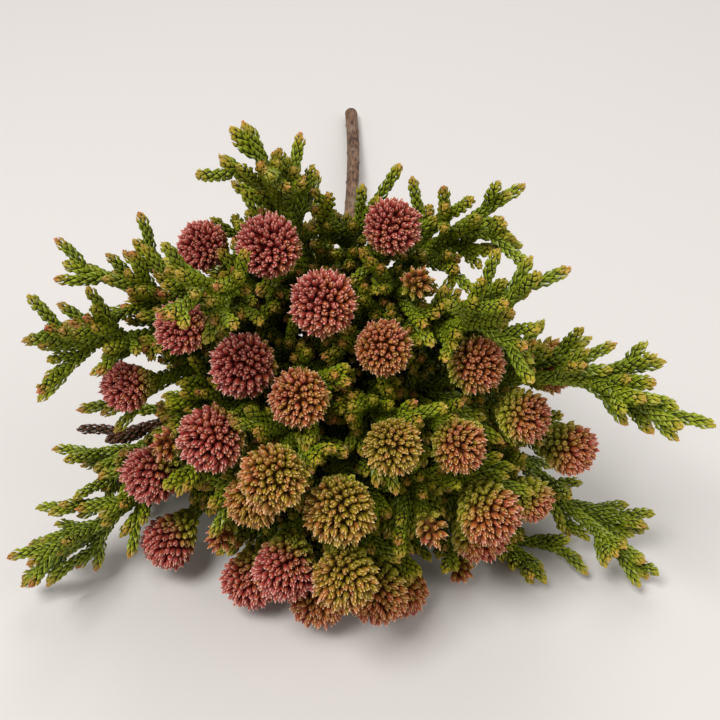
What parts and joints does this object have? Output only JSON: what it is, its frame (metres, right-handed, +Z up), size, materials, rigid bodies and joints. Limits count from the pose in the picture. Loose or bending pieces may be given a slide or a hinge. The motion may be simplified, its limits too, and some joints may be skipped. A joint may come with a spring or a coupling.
{
  "type": "nebelia stem",
  "caption": "Cut stem of nebelia lying on its side: bare woody stalk, forked spray of scale-leaved twigs and a dome of spiky cone-like flower heads.",
  "frame": {"origin": "middle of the stem's outline on the table it lies on", "axes": "+Y along the stem towards the cut end, -Y towards the flower heads, +Z up from the table"},
  "size_m": [0.152, 0.3228, 0.1109],
  "materials": {
    "bark": "rough bark with old leaf scars",
    "leaf": "waxy scale leaves, semi-matt",
    "bract": "dry pointed bracts, semi-matt, paler at the tips"
  },
  "bodies": {
    "root": {"woody_stalk": "bark", "leafy_spray": "leaf", "head_01": "bract", "head_02": "bract", "head_03": "bract", "head_04": "bract", "head_05": "bract", "head_06": "bract", "head_07": "bract", "head_08": "bract", "head_09": "bract", "head_10": "bract", "head_11": "bract", "head_12": "bract", "head_13": "bract", "head_14": "bract", "head_15": "bract", "head_16": "bract", "head_17": "bract", "head_18": "bract", "head_19": "bract", "head_20": "bract", "head_21": "bract", "head_22": "bract", "head_23": "bract", "head_24": "bract", "head_25": "bract", "head_26": "bract", "head_27": "bract", "head_28": "bract", "head_29": "bract", "head_30": "bract", "head_31": "bract", "head_32": "bract", "head_33": "bract", "head_34": "bract", "head_35": "bract", "head_36": "bract", "head_37": "bract"}
  },
  "joints": []
}
